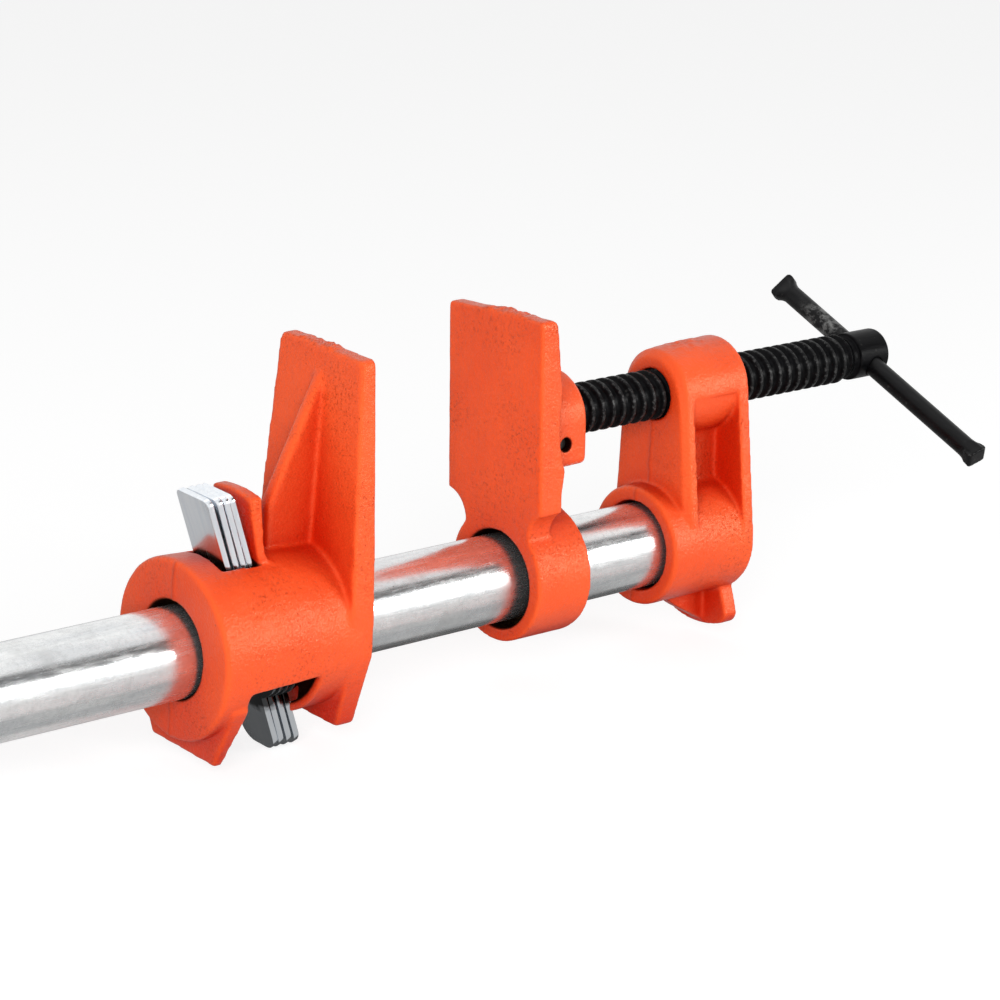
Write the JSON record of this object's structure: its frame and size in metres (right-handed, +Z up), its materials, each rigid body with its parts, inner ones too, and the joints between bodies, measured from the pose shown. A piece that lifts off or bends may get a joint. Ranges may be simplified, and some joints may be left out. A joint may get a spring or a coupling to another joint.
{
  "type": "woodworking pipe clamp",
  "caption": "Pipe clamp: a screw-driven jaw and a clutch-held tail stop on a steel pipe, with tabbed clutch plates, coil spring and a T-handle screw.",
  "frame": {"origin": "centre of the pipe's free end face, on the pipe's axis", "axes": "+X along the pipe towards the screw and its handle, +Z up through the screw's axis, +Y to the far side in the picture"},
  "size_m": [0.5337, 0.0926, 0.1187],
  "materials": {
    "galvanised_steel": "galvanised, bright with fine streaks",
    "orange_enamel": "semi-gloss orange enamel over rough casting",
    "bright_steel": "bright zinc plated, smooth",
    "black_oxide_steel": "black oxide, lightly worn",
    "spring_steel": "dull drawn wire"
  },
  "bodies": {
    "pipe_and_head": {"pipe": "galvanised_steel", "head_casting": "orange_enamel"},
    "clutch_spring": {"clutch_spring": "spring_steel"},
    "tail_stop": {"tail_stop": "orange_enamel"},
    "clutch_plates": {"clutch_plate_1": "bright_steel", "clutch_plate_2": "bright_steel", "clutch_plate_3": "bright_steel", "clutch_plate_4": "bright_steel"},
    "sliding_jaw": {"sliding_jaw": "orange_enamel", "jaw_retaining_pin": "black_oxide_steel"},
    "screw": {"main_screw": "black_oxide_steel"},
    "handle": {"handle_bar": "black_oxide_steel"}
  },
  "joints": [
    {"name": "tail_slide", "type": "slide", "parent": "pipe_and_head", "child": "clutch_spring", "axis": [1, 0, 0], "range_m": [-0.25, 0.0085]},
    {"name": "tail_swivel", "type": "hinge", "parent": "clutch_spring", "child": "tail_stop", "pos_m": [0.2544, 0, 0], "axis": [1, 0, 0], "continuous": true},
    {"name": "clutch_release", "type": "hinge", "parent": "tail_stop", "child": "clutch_plates", "pos_m": [0.2737, -0.0018, 0.02283], "axis": [0, 0.9969, 0.0785], "range_deg": [0, 9], "stiffness_Nm_per_rad": 1, "springref_deg": -11.46, "deforming": ["clutch_spring"]},
    {"name": "jaw_travel", "type": "slide", "parent": "pipe_and_head", "child": "sliding_jaw", "axis": [1, 0, 0], "range_m": [-0.0559, 0.0356]},
    {"name": "screw_turn", "type": "hinge", "parent": "sliding_jaw", "child": "screw", "pos_m": [0.3772, 0, 0.0477], "axis": [1, 0, 0], "range_deg": [-4752, 3024]},
    {"name": "bar_slide", "type": "slide", "parent": "screw", "child": "handle", "axis": [0, 0.9063, 0.4226], "range_m": [-0.026, 0.0435]}
  ],
  "couplings": [
    {"joint": "jaw_travel", "follows": "screw_turn", "m_per_rad": 0.00067376}
  ]
}
